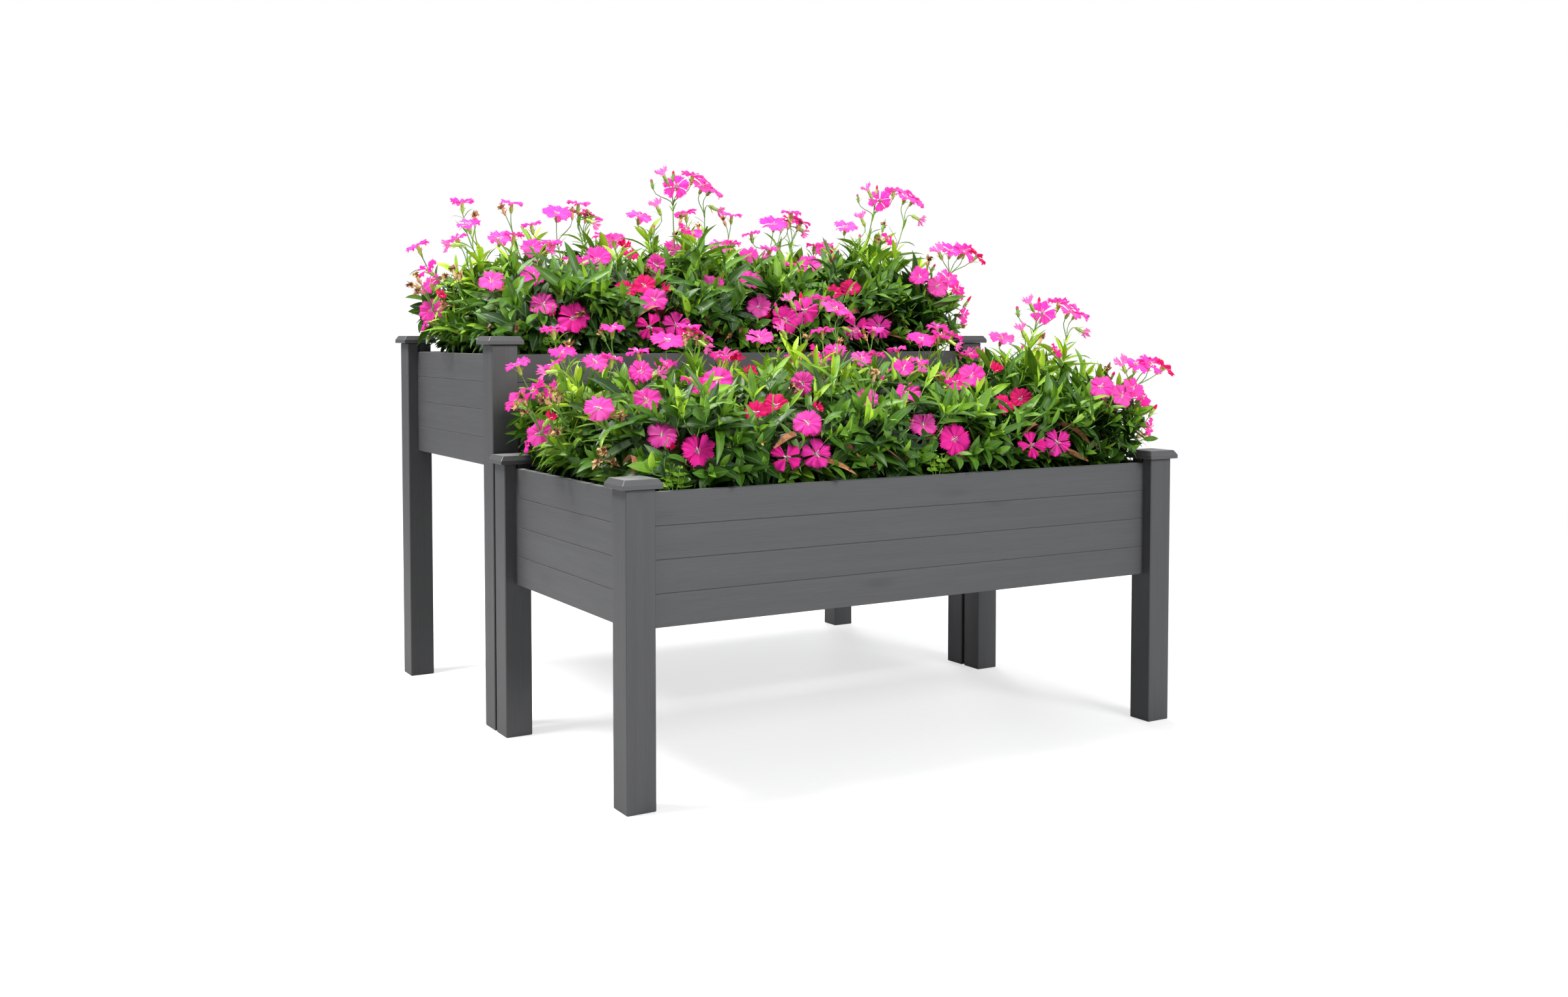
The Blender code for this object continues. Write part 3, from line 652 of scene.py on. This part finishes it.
# ---- One bed --------------------------------------------------------------------------------------
class Bed:
    """Heights and inner edges of a bed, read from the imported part."""

    def __init__(self, name, number):
        self.name = name
        self.growth, self.stoutness = GROWTH[name], STOUTNESS[name]
        self.random = np.random.default_rng(11 + number)
        low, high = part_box(f"{name}_soil")
        self.middle = np.array([(low.x + high.x) / 2, (low.y + high.y) / 2])
        self.inner = np.array([high.x - low.x, high.y - low.y]) / 2
        self.soil_top = high.z
        self.caps_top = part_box(f"{name}_cap_front_left")[1].z
        self.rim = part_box(f"{name}_board_front_4")[1].z
        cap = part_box(f"{name}_cap_rear_right")[0]
        self.cap_from = np.array([cap.x, cap.y]) - self.middle
        self.windows = []

    def place(self, x, y, height):
        """A point given from the bed's middle and its caps, in the part's frame."""
        taller = (self.growth - 1) * min(max((height - 0.09) / 0.12, 0.0), 1.0)
        return np.array([self.middle[0] + x, self.middle[1] + y, self.caps_top + height * (1 + taller)])

    def clear(self, points):
        """Whether each set of points (copies x ... x 3) keeps off the soil, boards, posts and caps."""
        flat = points.reshape(len(points), -1, 3)
        x = np.abs(flat[..., 0] - self.middle[0])
        y = np.abs(flat[..., 1] - self.middle[1])
        z = flat[..., 2]
        walls = (x > self.inner[0] - CLEARANCE) | (y > self.inner[1] - CLEARANCE)
        walls &= z < self.rim + CLEARANCE
        corner = (x > self.cap_from[0] - CLEARANCE) & (y > self.cap_from[1] - CLEARANCE)
        corner &= z < self.caps_top + CLEARANCE
        too_far = (x > REACH_X) | (y > REACH_Y)
        buried = z < self.soil_top - 0.005
        return ~(walls | corner | too_far | buried).any(axis=1)

    def keep_window(self, at, axis, radius):
        """Remember the space in front of a head, which leaves then keep out of."""
        self.windows.append((at, unit(np.asarray(axis) + LOOKED_AT_FROM), radius))

    def open_to_view(self, points):
        """Whether each leaf (copies x ... x 3) leaves the heads open to view."""
        flat = points.reshape(len(points), -1, 3)
        hidden = np.zeros(len(points))
        for at, way, radius in self.windows:
            offset = flat - at
            ahead = offset @ way
            aside = np.linalg.norm(offset - ahead[..., None] * way, axis=2)
            within = (ahead > -0.002) & (ahead < WINDOW_LENGTH) & (aside < radius)
            hidden = np.maximum(hidden, within.mean(axis=1))
        return hidden < MOST_HIDDEN

    def root(self, x, y):
        """Where a stem that ends at x, y comes out of the soil."""
        edge = self.inner - 0.025
        root = np.clip(np.array([0.80 * x, 0.72 * y]), -edge, edge)
        return np.array([*(self.middle + root), self.soil_top - STEM_FOOT])


class Clump:
    """The plants in one half of a bed, gathered into pieces by what they are made of."""

    def __init__(self, bed, side):
        self.bed, self.side, self.random = bed, side, bed.random
        self.middle_x = MIDDLES[bed.name][side > 0]
        self.pieces = {kind: Piece() for kind in PIECES}
        self.stems = []

    # -- Leafy shoots --
    def canopy(self, x, y):
        """Height of the leafy mass above the caps, for a place given from the bed's middle."""
        across = max(1 - (abs(y) / 0.33) ** 2.4, 0.0)
        from_plants = [(x - self.middle_x - plant) / PLANT_RADIUS for plant in PLANTS]
        along = max(1 - min(abs(share) for share in from_plants) ** 2, 0.05)
        lumps = 0.010 * math.sin(17 * x + 1.3) * math.cos(21 * y - 0.4) + 0.008 * math.sin(31 * x + 9 * y)
        return CANOPY_CROWN * math.sqrt(across * along) + lumps + TUFT_HEIGHT * self.tuft(x, y)

    def tuft(self, x, y):
        """1 in the middle of the tall light green tuft of the clump, falling to 0 round it."""
        along = (x - self.middle_x + self.skew(TUFT_X, 0) - TUFT_X) / 0.05
        return math.exp(-(along**2) - ((y + 0.01) / 0.08) ** 2)

    def outward(self, x, y):
        """The way shoots lean at a place: away from the nearest plant, and over the edges."""
        plants = self.middle_x + np.array(PLANTS)
        away = x - plants[np.argmin(np.abs(plants - x))]
        return np.array([4.2 * away, 0.55 * (y / 0.29) + 0.4 * (y / 0.29) ** 5, 0.0])

    def add_shoots(self):
        """Shoots whose tips make up the crown, then the skirt, then a few light green tips on top."""
        draw = self.random
        for x in np.arange(SHOOT_SPACING / 2, 0.58, SHOOT_SPACING) * self.side:
            for arc in np.arange(-0.93, 0.94, 0.133):
                px = x + draw.uniform(-0.45, 0.45) * SHOOT_SPACING
                py = SHOOT_ROWS_REACH * math.sin(arc * math.pi / 2) + draw.uniform(-0.45, 0.45) * 0.034
                height = self.canopy(px, py) + draw.normal(0, 0.012)
                upright = draw.uniform() < 0.16
                height += upright * draw.uniform(0.02, 0.05)
                upright = max(upright, self.tuft(px, py))
                way = unit(self.outward(px, py) * (1 - 0.6 * upright) + UP * 0.55 + draw.normal(0, 0.15, 3))
                # Painted shade for the crown's leaves: less on upright shoots, and below 0, so lighter, in
                # the tuft.
                shade = 0.25 - 0.24 * upright - 0.30 * self.tuft(px, py) + draw.normal(0, 0.09)
                self.add_shoot(px, py, height, way, shade, 1.0, draw.uniform(0.80, 1.05) - 0.20 * upright)
        self.add_skirt()
        for x, y, height in LIME_SHOOTS:
            way = unit(np.array([0.25, -0.15, 1.0]) + draw.normal(0, 0.08, 3))
            self.add_shoot(x + self.middle_x - self.skew(x, y), y, height, way, -0.50, 0.88, 0.85)

    def add_skirt(self):
        """Low shoots that lean out over the boards, in tiers all round this half."""
        draw = self.random
        for tier, (height, reach, end_reach) in enumerate(SKIRT_TIERS):
            rise = 0.25 + 0.25 * tier
            for x in np.arange(0.01, 0.565, SKIRT_SPACING) * self.side:
                for edge in (-1, 1):
                    px = x + draw.uniform(-0.015, 0.015)
                    way = unit(np.array([draw.normal(0, 0.45), edge, rise]))
                    tip = height + draw.uniform(-0.012, 0.015)
                    # Skirt leaves get the most painted shade.
                    self.add_shoot(px, edge * reach, tip, way, 0.38, 0.70, 1.05)
            for y in np.arange(-0.255, 0.26, SKIRT_SPACING):
                way = unit(np.array([self.side, draw.normal(0, 0.4), rise]))
                end = self.side * (end_reach - CORNERS_ROUNDED * (y / 0.255) ** 4)
                py = y + draw.uniform(-0.015, 0.015)
                self.add_shoot(end, py, height + draw.uniform(-0.01, 0.015), way, 0.38, 0.80, 1.0)

    def add_shoot(self, x, y, height, way, shade, shorter=1.0, broader=1.0):
        """One leafy shoot whose tip is at x, y and points along way. Shade is painted shade that darkens its
        leaves; below 0 it makes them lighter.
        """
        bed, draw = self.bed, self.random
        tip = bed.place(x, y, height)
        root = bed.root(x, y)
        reach = np.linalg.norm(tip - root)
        path = bezier(root, root + UP * 0.5 * reach, tip - way * 0.42 * reach, tip, 8)
        if reach < 0.045 or not (bed.clear(path[None]) & bed.open_to_view(path[None]))[0]:
            return
        radii = SHOOT_RADIUS * np.linspace(1.0, 0.5, 8)[None]
        self.pieces["stems"].add(*tubes(path[None], radii, 4), marks=(0.5, 0.2, 0.30))
        gaps = np.array([0.002, 0.010, 0.014, 0.018, 0.021, 0.023, 0.025, 0.027, 0.029])
        back = np.cumsum(gaps * draw.uniform(0.9, 1.15))
        share = 1 - back[back < reach - 0.022] / reach
        self.add_leaf_pairs(path, share, shade, shorter, broader)

    def add_leaf_pairs(self, path, share, shade, shorter, broader):
        """Pairs of leaves at shares of a stem, each pair square to the last, the youngest first."""
        bed, draw = self.bed, self.random
        place, way = along_path(path, share)
        depth = np.arange(len(share))
        turn = draw.uniform(0, ROUND) + depth * math.pi / 2 + draw.normal(0, 0.18, len(share))
        place, way, out = both_sides(place, way, spokes(way, turn))
        depth = np.concatenate([depth, depth])
        count = len(depth)
        spread = np.interp(depth, [0, 1, 2, 4], [20, 36, 52, 68]) + draw.normal(0, 7, count)
        ahead, face = leaned(way, out, np.radians(spread))
        upturned = np.interp(depth, [0, 2, 4], [0.0, 0.35, 0.75])[:, None]
        face = face + UP * upturned + draw.normal(0, 0.16, (count, 3))
        size = np.interp(depth, [0, 1, 2, 3, 9], [0.42, 0.66, 0.88, 1.04, 0.96])
        length = LEAF_LENGTH * (size * draw.uniform(0.82, 1.15, count)) * bed.stoutness * shorter
        size = np.interp(depth, [0, 1, 3], [0.48, 0.72, 1.05])
        width = LEAF_WIDTH * size * draw.uniform(0.8, 1.15, count) * broader * bed.stoutness
        bend = draw.uniform(0.25, 1.05, count) * np.interp(depth, [0, 2], [0.6, 1.0])
        # The age mark also carries the shoot's painted shade.
        age = np.interp(depth, [0, 1, 3, 6], [0.05, 0.22, 0.55, 0.80]) + shade + draw.normal(0, 0.10, count)
        fold, twist = draw.uniform(0.2, 0.55, count), draw.normal(0, 0.35, count)
        points = blades(place, ahead, face, length, width, bend, fold, twist)
        kept = bed.clear(points) & bed.open_to_view(points)
        if kept.any():
            add_blades(self.pieces["leaves"], points[kept], np.clip(age, 0, 1)[kept])

    # -- Flowering stems --
    def skew(self, x, y):
        """How far left of its twin in the right clump a head of the left clump stands."""
        return 0.06 * (x + 0.30) + 0.14 * (y + 0.19) if self.side < 0 else 0.0

    def plan_stem(self, heads, from_clump):
        """Settle where a stem's heads are, and keep the space in front of its blooms."""
        planned = []
        inside = from_clump and all(-100 <= y <= 130 for _, y, *_ in heads)
        drift = self.random.uniform(-HEADS_DRIFT, HEADS_DRIFT) if inside else 0.0
        for x, y, height, tilt, heading, kind, *widths in heads:
            x, y, height = x / 1000, y / 1000, height / 1000
            if from_clump:
                x += self.middle_x - self.skew(x, y)
            x, y = x + SIGHT_LINE[0] * drift, y + SIGHT_LINE[1] * drift
            at, axis = self.bed.place(x, y, height), direction(tilt, heading)
            size = [width / 1000 * self.bed.stoutness for width in widths]
            for width in size:
                self.bed.keep_window(at, axis, 0.50 * width)
            planned.append((at, axis, kind, *size))
        self.stems.append(planned)

    def add_flowering_stem(self, planned):
        """A stem that branches to each of its heads."""
        bed = self.bed
        feet = [self.add_head(*head) for head in planned]
        axes = [head[1] for head in planned]
        foot = np.mean(feet, axis=0)
        root = bed.root(foot[0] - bed.middle[0], foot[1] - bed.middle[1])
        lowest = min(point[2] for point in feet)
        if len(feet) == 1:
            joint, way = feet[0], axes[0]
        else:
            way = unit(foot - root + UP * 0.05)
            joint = foot - way * 0.045
            joint[2] = min(joint[2], lowest - 0.012)
        reach = np.linalg.norm(joint - root)
        path = bezier(root, root + UP * 0.45 * reach, joint - way * 0.28 * reach, joint, 9)
        self.add_stem(path, STEM_RADIUS)
        self.add_narrow_leaves(path)
        if len(feet) > 1:
            for point, axis in zip(feet, axes):
                short = np.linalg.norm(point - joint)
                path = bezier(joint, joint + way * 0.35 * short, point - axis * 0.4 * short, point, 6)
                self.add_stem(path, BRANCH_RADIUS)

    def add_stem(self, path, radius):
        radii = (radius * np.linspace(1.15, 0.8, len(path)))[None]
        self.pieces["stems"].add(*tubes(path[None], radii, 5), marks=(0.5, 0.2, 0.42))

    def add_narrow_leaves(self, path):
        """Pairs of grassy blades up a flowering stem, narrower towards its top."""
        draw = self.random
        share = np.array([0.34, 0.47, 0.60, 0.72, 0.84, 0.95])
        count = 2 * len(share)
        place, way = along_path(path, share)
        turn = draw.uniform(0, ROUND) + np.arange(len(share)) * math.pi / 2
        place, way, out = both_sides(place, way, spokes(way, turn))
        ahead, face = leaned(way, out, np.radians(draw.uniform(20, 50, count)))
        high = np.concatenate([share, share])
        length = np.interp(high, [0.34, 0.95], [0.092, 0.038]) * draw.uniform(0.8, 1.2, count)
        width = np.interp(high, [0.34, 0.95], [0.0135, 0.0036]) * draw.uniform(0.85, 1.2, count)
        bend, fold = draw.uniform(0.2, 1.2, count), draw.uniform(0.3, 0.7, count)
        points = blades(place, ahead, face, length, width, bend, fold, draw.normal(0, 0.4, count), rows=5)
        kept = self.bed.clear(points) & self.bed.open_to_view(points)
        if kept.any():
            add_blades(self.pieces["leaves"], points[kept], draw.uniform(0.10, 0.50, count)[kept])

    # -- Heads --
    def add_head(self, at, axis, kind, *width):
        """A bloom, bud or spent head. Its calyx's foot is returned, where the stem joins."""
        if kind in BLOOM_KINDS:
            return self.add_bloom(at, axis, BLOOM_KINDS[kind], *width)
        if kind == "withered":
            return self.add_withered(at, axis)
        return self.add_bud(at, axis, "petals_rose" if kind == "rose_bud" else "petals_pink")

    def add_bloom(self, at, axis, kind, width):
        draw = self.random
        piece, petals, half_angle, opening, tint = kind
        opening = np.clip(opening + draw.normal(0, 0.04), 0.2, 1.0)
        spin = draw.uniform(0, ROUND)
        for number in range(petals):
            heading = spin + number * ROUND / petals + draw.normal(0, 0.06)
            shade = np.clip(tint + draw.normal(0, 0.04), 0, 1)
            length = PETAL_SHARE * width
            self.add_petal(piece, at, axis, heading, math.radians(half_angle), length, opening, shade)
        self.add_styles(at, axis)
        return self.add_calyx(at, axis, draw.uniform(-0.12, 0.14), 1.12)

    def add_petal(self, piece, at, axis, heading, half_angle, length, opening, tint):
        """One fringed fan. Opening runs from 0, nearly shut, to 1, flat."""
        draw = self.random
        share = np.linspace(0.0, 1.0, PETAL_RINGS)[:, None]
        across = np.linspace(-1.0, 1.0, PETAL_STEPS + 1)[None]
        opening = opening + draw.normal(0, 0.08)
        first, last = 80 - 50 * opening, 68 - 80 * opening
        elevation = np.radians(first + (last - first) * share)
        step = length / (PETAL_RINGS - 1)
        out = 0.0010 + np.cumsum(np.cos(elevation) * step, axis=0) - np.cos(elevation[0]) * step
        lift = np.cumsum(np.sin(elevation) * step, axis=0) - np.sin(elevation[0]) * step
        angle = across * half_angle * (0.80 + 0.20 * np.clip(share / 0.5, 0, 1))
        notched = np.where(np.arange(PETAL_STEPS + 1) % 2 == 1, 0.0, -0.13)
        tooth = notched * draw.uniform(0.4, 1.5, PETAL_STEPS + 1)
        tooth = tooth + 0.05 * np.sin(across[0] * draw.uniform(3, 7) + draw.uniform(0, ROUND))
        stretch = 1 - 0.10 * across**2 * share**2 + tooth * share**7
        ruffle = 0.0032 * np.sin(across * draw.uniform(4, 9) + draw.uniform(0, ROUND)) * share**1.5
        reach = out * stretch * draw.uniform(0.94, 1.04)
        rise = lift * stretch + ruffle + 0.0022 * across * share - 0.0025 * across**2 * share**2
        points = np.stack([reach * np.cos(heading + angle), reach * np.sin(heading + angle), rise], axis=2)
        marks = np.stack(np.broadcast_arrays(share, across / 2 + 0.5, tint), axis=2)
        placed = turned(points.reshape(-1, 3), axis, at)
        self.pieces[piece].add(placed, grid_quads(PETAL_RINGS, PETAL_STEPS + 1), marks=marks)

    def add_lathe(self, piece, profile, sides, at, axis, marks, teeth=0.0):
        """A turned shape from (radius, height) points, with an optional toothed rim."""
        radius, height = np.array(profile).T[..., None]
        turn = np.arange(sides) * ROUND / sides
        rings = np.broadcast_arrays(radius * np.cos(turn), radius * np.sin(turn), height)
        points = np.stack(rings, axis=2)
        points[-1, ::2, 2] += teeth
        placed = turned(points.reshape(-1, 3), axis, at)
        self.pieces[piece].add(placed, grid_quads(len(profile), sides, wrap=True), marks=marks)

    def add_calyx(self, at, axis, age, scale=1.0, piece="stems"):
        """The green tube under a bloom, with narrow bracts round its foot. The foot is returned."""
        draw = self.random
        scale = scale * self.bed.stoutness
        profile = [(radius * scale, height * CALYX_LENGTH * scale) for radius, height in CALYX]
        self.add_lathe(piece, profile, 10, at, axis, (0.5, 0.25, age), teeth=0.0028 * scale)
        foot = np.asarray(at) - np.asarray(axis) * CALYX_LENGTH * scale
        axes = np.repeat(np.asarray(axis)[None], BRACTS, axis=0)
        turn = np.arange(BRACTS) * ROUND / BRACTS + draw.uniform(0, 1)
        ahead, face = leaned(axes, spokes(axes, turn), np.radians(draw.uniform(14, 40, BRACTS)))
        length, width = draw.uniform(0.010, 0.021, BRACTS) * scale, draw.uniform(0.0020, 0.0034, BRACTS)
        bend, twist = draw.uniform(-0.2, 0.8, BRACTS), draw.normal(0, 0.2, BRACTS)
        feet, fold = np.repeat(foot[None], BRACTS, axis=0), np.full(BRACTS, 0.4)
        points = blades(feet, ahead, face, length, width, bend, fold, twist, rows=3)
        add_blades(self.pieces[piece], points, np.full(BRACTS, age + 0.1))
        return foot

    def add_styles(self, at, axis):
        """Two pale threads that curl out of the throat."""
        draw = self.random
        t = np.linspace(0.0, 1.0, 7)
        spin = draw.uniform(0, ROUND)
        paths = []
        for number in range(2):
            heading = spin + number * 0.8 * math.pi + draw.normal(0, 0.3)
            bend = 4.6 * t**1.8 * draw.uniform(0.8, 1.2)
            out = np.cumsum(np.sin(bend)) * 0.0030
            lift = np.cumsum(np.cos(bend)) * 0.0022
            local = np.stack([out * math.cos(heading), out * math.sin(heading), lift], axis=1)
            paths.append(turned(local, axis, at))
        radii = np.tile(np.linspace(0.00060, 0.00040, 7), (2, 1))
        self.pieces["styles"].add(*tubes(np.array(paths), radii, 3))

    def add_bud(self, at, axis, piece):
        """A calyx with the rolled tip of the corolla showing."""
        draw = self.random
        scale = draw.uniform(0.8, 1.05)
        shown = draw.uniform(0.005, 0.012) * (1.4 if piece == "petals_rose" else 1.0)
        tip = [(0.0018, -0.002), (0.0036, 0.35 * shown), (0.0030, 0.75 * shown), (0.0004, 1.15 * shown)]
        self.add_lathe(piece, [(r * scale, z) for r, z in tip], 7, at, axis, (0.9, 0.5, 0.2))
        return self.add_calyx(at, axis, draw.uniform(0.0, 0.25), scale)

    def add_withered(self, at, axis):
        """A spent head: a straw-coloured calyx with crumpled brown shreds."""
        draw = self.random
        foot = self.add_calyx(at, axis, 0.22, 0.92, piece="withered" if draw.uniform() < 0.75 else "stems")
        ahead = np.asarray(axis) + draw.normal(0, 0.45, (SHREDS, 3))
        middle, face = np.repeat(np.asarray(at)[None], SHREDS, axis=0), draw.normal(0, 1, (SHREDS, 3))
        length, width = draw.uniform(0.008, 0.020, SHREDS), draw.uniform(0.003, 0.008, SHREDS)
        bend, fold = draw.uniform(-3.0, 3.0, SHREDS), draw.uniform(-0.9, 0.9, SHREDS)
        twist = draw.uniform(-1.5, 1.5, SHREDS)
        points = blades(middle, ahead, face, length, width, bend, fold, twist, rows=4)
        add_blades(self.pieces["withered"], points, draw.uniform(0.05, 0.9, SHREDS))
        return foot

    # -- Small things --
    def add_dead_leaves(self):
        """Curled brown blades along arcs given from the clump's middle."""
        draw = self.random
        t = np.linspace(0.0, 1.0, 12)[:, None]
        for start, top, end in DEAD_LEAVES:
            first, second, third = (self.bed.place(x + self.middle_x, y, z) for x, y, z in (start, top, end))
            rib = (1 - t) ** 2 * first + 2 * (1 - t) * t * second + t**2 * third
            way = unit(np.gradient(rib, axis=0))
            side = unit(np.cross(way, UP))
            over = np.cross(side, way)
            roll = draw.uniform(-0.5, 0.5) + draw.uniform(-1.2, 1.2) * t
            across = side * np.cos(roll) + over * np.sin(roll)
            half = DEAD_LEAF_HALF * np.sin(math.pi * (0.06 + 0.92 * t)) ** 0.7
            curl = np.cross(across, way) * half * draw.uniform(-0.9, -0.4)
            points = np.stack([rib - across * half + curl, rib, rib + across * half + curl], axis=1)[None]
            if self.bed.clear(points)[0]:
                add_blades(self.pieces["withered"], points, np.array([draw.uniform(0.55, 0.75)]))

    def add_sprig(self):
        """A round-leaved seedling at the front board."""
        bed, draw = self.bed, self.random
        x, y = SPRIG_PLACE[0] + self.middle_x, SPRIG_PLACE[1]
        root = np.array([bed.middle[0] + x, bed.middle[1] + y, bed.soil_top - STEM_FOOT])
        towards_light = np.array([-0.35, -0.60, 0.72])
        for number in range(4):
            lean = np.array([0.011 * (number - 1.5), -0.004 + 0.006 * (number % 2), 0.0])
            tip = root + lean * 1.3 + UP * (0.080 - 0.012 * abs(number - 1.2))
            path = bezier(root, root + UP * 0.02, tip - UP * 0.02, tip, 7)
            self.add_stem(path, SPRIG_RADIUS)
            share = np.array([0.62, 0.80, 0.99])
            place, way = along_path(path, share)
            turn = draw.uniform(0, ROUND) + np.arange(3) * math.pi / 2
            out = np.stack([np.cos(turn), np.sin(turn), np.zeros(3)], axis=1)
            place, out = np.concatenate([place, place]), np.concatenate([out, -out])
            size = np.tile([0.013, 0.012, 0.009], 2) * draw.uniform(0.85, 1.1, 6)
            points = blades(place, out + UP * 0.30, towards_light - out * 0.2, size, size * 0.92,
                            np.full(6, 0.4), np.full(6, 0.25), np.zeros(6), rows=6, round_tip=True)
            kept = bed.clear(points)
            add_blades(self.pieces["leaves"], points[kept], draw.uniform(0.16, 0.34, 6)[kept])
        bed.keep_window(root + np.array([0.0, -0.010, 0.056]), np.array([0.0, -1.0, 0.0]), 0.022)

    def plan_flowers(self):
        for heads in STEMS:
            self.plan_stem(heads, from_clump=True)
        for heads in RIGHT_ONLY if self.side > 0 else LEFT_ONLY:
            self.plan_stem(heads, from_clump=False)
        for _, top, _ in DEAD_LEAVES:
            self.bed.keep_window(self.bed.place(top[0] + self.middle_x, top[1], top[2]), (0, 0, 0), 0.012)

    def add_plants(self):
        for planned in self.stems:
            self.add_flowering_stem(planned)
        self.add_sprig()
        self.add_shoots()
        self.add_dead_leaves()

    def build(self, name, materials):
        for kind, (material, slot, marks) in PIECES.items():
            label, stand_in = f"{self.bed.name}_{kind}_{name}", f"{self.bed.name}_pinks_{name}"
            self.pieces[kind].build(label, materials[material], slot, marks, stand_in)


# ---- Timber, soil, stage --------------------------------------------------------------------------
def grain_axis(node):
    """0 for pieces that run along X, 1 along Y, 2 for upright ones."""
    low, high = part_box(node)
    size = [high[axis] - low[axis] for axis in range(3)]
    return size.index(max(size))


def paint_timber(soil):
    for number, (name, obj) in enumerate(sorted(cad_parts.items())):
        if "_pinks_" in name:
            continue
        if name.endswith("_soil"):
            material = soil
        else:
            material = paint_material(f"paint_{name}", grain_axis(name), number)
        obj.data.materials.clear()
        obj.data.materials.append(material)


def add_studio():
    bpy.ops.mesh.primitive_plane_add(size=2 * FLOOR_RADIUS, location=(0, 0, 0))
    floor = bpy.context.object
    floor.name = "studio_floor"
    floor.data.materials.append(floor_material())
    world = bpy.data.worlds.new("studio")
    bpy.context.scene.world = world
    world.use_nodes = True
    nodes, links = world.node_tree.nodes, world.node_tree.links
    sky = nodes["Background"]
    sky.inputs["Color"].default_value = (*SKY, 1.0)
    sky.inputs["Strength"].default_value = SKY_STRENGTH
    seen = nodes.new("ShaderNodeBackground")
    seen.inputs["Color"].default_value = (*WHITE, 1.0)
    path = nodes.new("ShaderNodeLightPath")
    mix = nodes.new("ShaderNodeMixShader")
    links.new(path.outputs["Is Camera Ray"], mix.inputs[0])
    links.new(sky.outputs[0], mix.inputs[1])
    links.new(seen.outputs[0], mix.inputs[2])
    links.new(mix.outputs[0], nodes["World Output"].inputs["Surface"])


def add_light(name, place, target, size, power, colour):
    light = bpy.data.lights.new(name, "AREA")
    light.shape = "DISK"
    light.size = size
    light.energy = power
    light.color = colour
    obj = bpy.data.objects.new(name, light)
    obj.location = place
    obj.rotation_euler = (Vector(target) - Vector(place)).to_track_quat("-Z", "Y").to_euler()
    bpy.context.scene.collection.objects.link(obj)


def add_camera():
    camera = bpy.data.cameras.new("camera")
    camera.sensor_width = SENSOR_MM
    camera.lens = LENS_MM
    camera.shift_y = SHIFT_Y
    camera.clip_end = CLIP_END
    obj = bpy.data.objects.new("camera", camera)
    obj.location = CAMERA_PLACE
    obj.rotation_euler = (math.pi / 2 - CAMERA_PITCH, 0.0, -CAMERA_YAW)
    bpy.context.scene.collection.objects.link(obj)
    bpy.context.scene.camera = obj


def main():
    add_camera()
    add_studio()
    for name, light in LIGHTS.items():
        add_light(name, *light)
    bpy.context.scene.view_settings.view_transform = "Standard"
    paint_timber(soil_material())
    materials = {
        "leaf": leaf_material("leaf", LEAF_GREENS),
        "stem": leaf_material("stem", STEM_GREENS),
        "petal_pink": petal_material("petal_pink", *PINKS),
        "petal_rose": petal_material("petal_rose", *ROSES),
        "styles": style_material(),
        "withered": withered_material(),
    }
    for number, name in enumerate(GROWTH):
        bed = Bed(name, number)
        clumps = {"left": Clump(bed, -1), "right": Clump(bed, 1)}
        for clump in clumps.values():
            clump.plan_flowers()
        for half, clump in clumps.items():
            clump.add_plants()
            clump.build(half, materials)


main()
